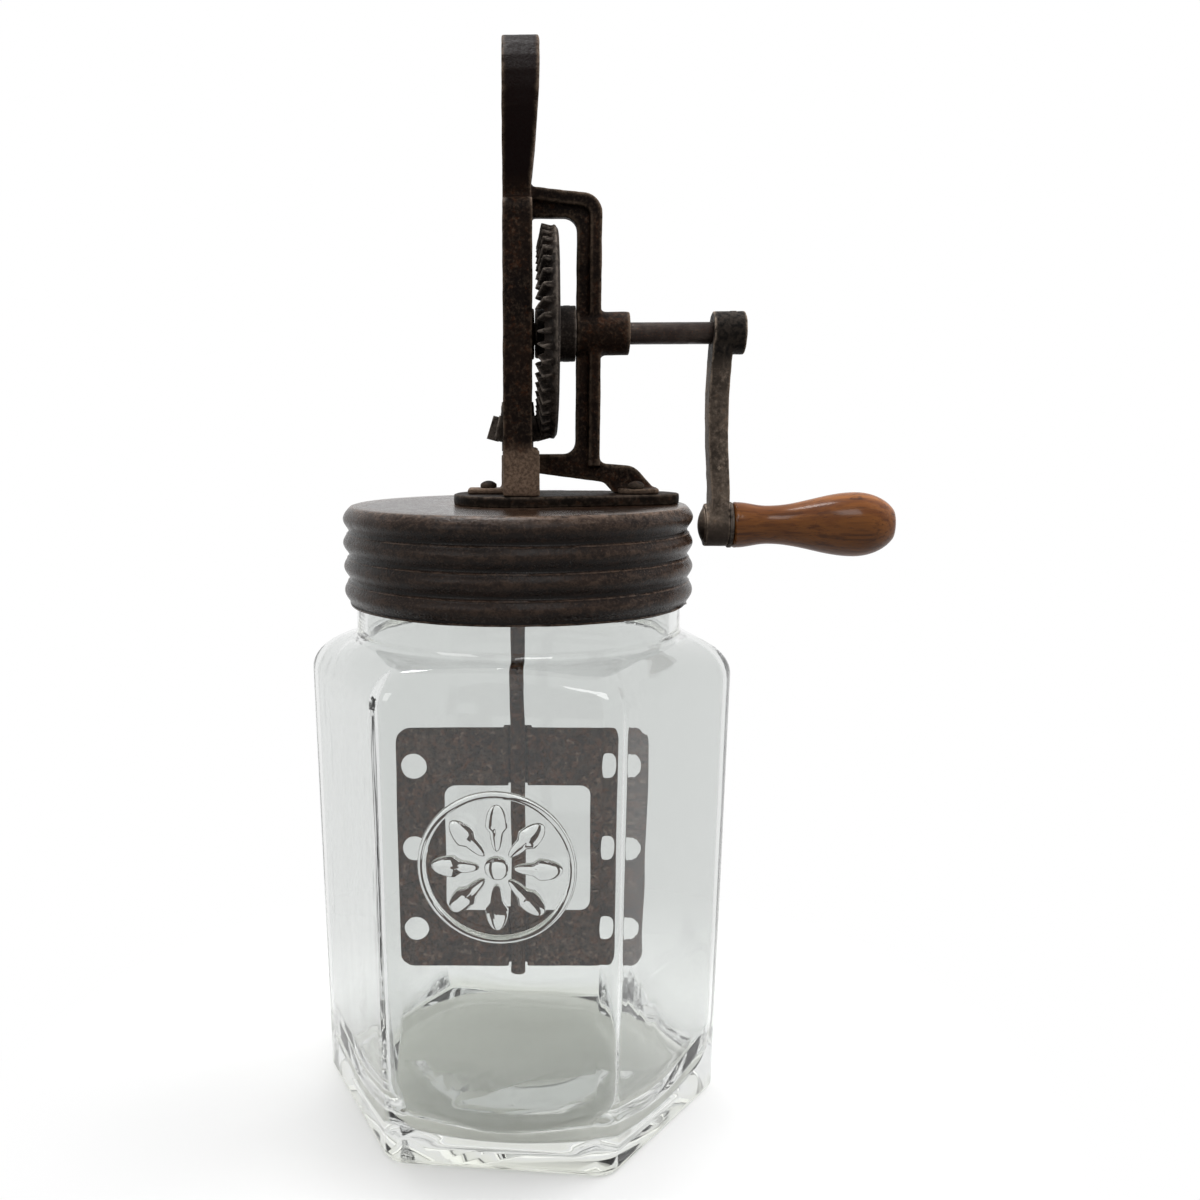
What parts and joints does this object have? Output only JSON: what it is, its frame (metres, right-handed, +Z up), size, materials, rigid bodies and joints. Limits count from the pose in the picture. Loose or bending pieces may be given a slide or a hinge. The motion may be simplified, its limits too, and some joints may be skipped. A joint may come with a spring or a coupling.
{
  "type": "butter churn",
  "caption": "Hand-cranked butter churn: six-sided glass jar, beaded metal lid, cast gear frame with a carrying handle, wooden-grip crank and a perforated dasher that spins inside the jar.",
  "frame": {"origin": "centre of the jar's flat foot, on the surface it stands on", "axes": "+Z up along the spindle, +X along the crank shaft towards the grip, -Y towards the viewer of the picture"},
  "size_m": [0.2529, 0.1706, 0.4518],
  "materials": {
    "glass": "clear pressed glass",
    "seal": "aged red rubber",
    "lid_metal": "dark lacquered tin, worn",
    "cast_iron": "dark rough casting",
    "steel": "dull, browned",
    "plate_metal": "mottled brown sheet",
    "wood": "varnished, worn"
  },
  "bodies": {
    "jar": {"glass_jar": "glass"},
    "head": {"seal_ring": "seal", "lid": "lid_metal", "base_plate": "cast_iron", "frame": "cast_iron", "frame_bolts": "steel", "bolt_washers": "steel", "bolt_nuts": "steel", "thrust_washer": "steel"},
    "crank": {"crank_shaft": "steel", "drive_gear": "cast_iron", "gear_pin": "steel", "crank_arm": "cast_iron", "crank_pin": "steel", "grip_spindle": "steel", "grip_washer": "steel", "grip_end_washer": "steel"},
    "grip": {"wooden_grip": "wood"},
    "dasher": {"dasher_spindle": "steel", "pinion": "cast_iron", "pinion_pin": "steel", "spindle_collar": "steel", "collar_pin": "steel", "dasher_plate": "plate_metal", "dasher_rivets": "steel"}
  },
  "joints": [
    {"name": "lid_lift", "type": "slide", "parent": "jar", "child": "head", "axis": [0, 0, 1], "range_m": [0, 0.22]},
    {"name": "crank_turn", "type": "hinge", "parent": "head", "child": "crank", "pos_m": [0, 0, 0.3373], "axis": [1, 0, 0], "continuous": true},
    {"name": "grip_spin", "type": "hinge", "parent": "crank", "child": "grip", "pos_m": [0.125, 0, 0.2573], "axis": [1, 0, 0], "continuous": true},
    {"name": "dasher_spin", "type": "hinge", "parent": "head", "child": "dasher", "pos_m": [0, 0, 0.2], "axis": [0, 0, 1], "continuous": true}
  ],
  "couplings": [
    {"joint": "dasher_spin", "follows": "crank_turn", "ratio": 3.75}
  ]
}
